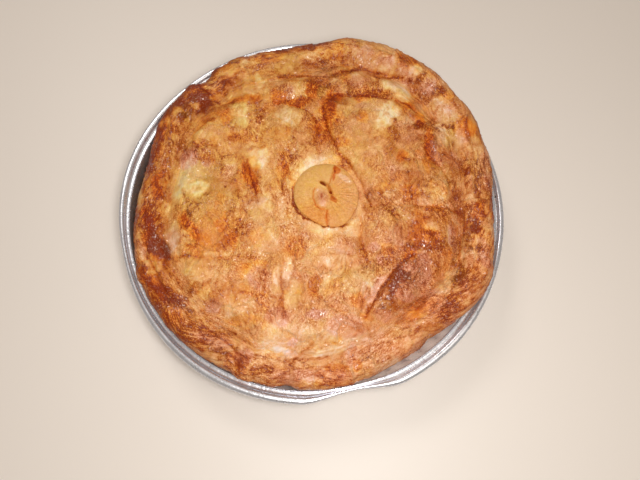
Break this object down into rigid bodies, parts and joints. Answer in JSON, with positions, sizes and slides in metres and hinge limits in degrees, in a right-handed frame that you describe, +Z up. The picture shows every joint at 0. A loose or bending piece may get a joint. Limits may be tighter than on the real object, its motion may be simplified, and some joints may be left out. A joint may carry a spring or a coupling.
{
  "type": "meat pie in foil plate",
  "caption": "Round double-crust meat pie with a rolled, browned border and a dough rosette on its crown, standing in its crimped foil pie plate.",
  "frame": {"origin": "centre of the plate's flat bottom, on the surface it stands on", "axes": "+Z up; +Y towards the raised side of the border, away from the dent in the rim; +X to the right as seen from the dented side"},
  "size_m": [0.2451, 0.2454, 0.0516],
  "materials": {
    "foil": "satin",
    "baked_crust": "baked, partly glossy",
    "rosette_dough": "baked, matt"
  },
  "bodies": {
    "root": {"foil_plate": "foil", "pie": "baked_crust", "rosette": "rosette_dough"}
  },
  "joints": []
}
